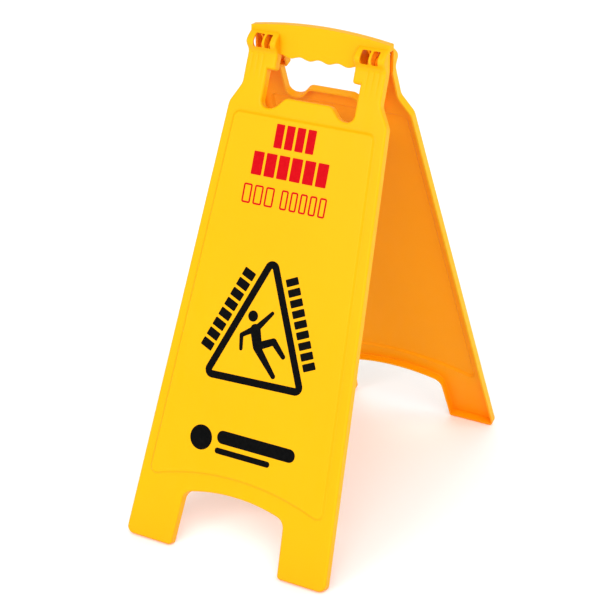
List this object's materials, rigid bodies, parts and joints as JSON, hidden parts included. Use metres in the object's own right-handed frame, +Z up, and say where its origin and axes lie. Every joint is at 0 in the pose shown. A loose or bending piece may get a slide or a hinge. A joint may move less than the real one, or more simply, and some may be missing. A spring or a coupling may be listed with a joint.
{
  "type": "wet floor sign",
  "caption": "Folding two-panel caution sign that stands on the floor, with a split grip handle and a hinge at the top.",
  "frame": {"origin": "on the floor, at the centre of the footprint, under the hinge line", "axes": "+Z up, +X along the hinge line, front panel on the -Y side"},
  "size_m": [0.284, 0.492, 0.6106],
  "materials": {
    "panel_plastic": "satin moulded polypropylene",
    "pin_plastic": "satin"
  },
  "bodies": {
    "front": {"front_panel": "panel_plastic", "left_hinge_pin": "pin_plastic", "right_hinge_pin": "pin_plastic"},
    "rear": {"rear_panel": "panel_plastic"}
  },
  "joints": [
    {"name": "fold", "type": "hinge", "parent": "front", "child": "rear", "pos_m": [0, 0, 0.57707], "axis": [-1, 0, 0], "range_deg": [0, 44.4]}
  ]
}
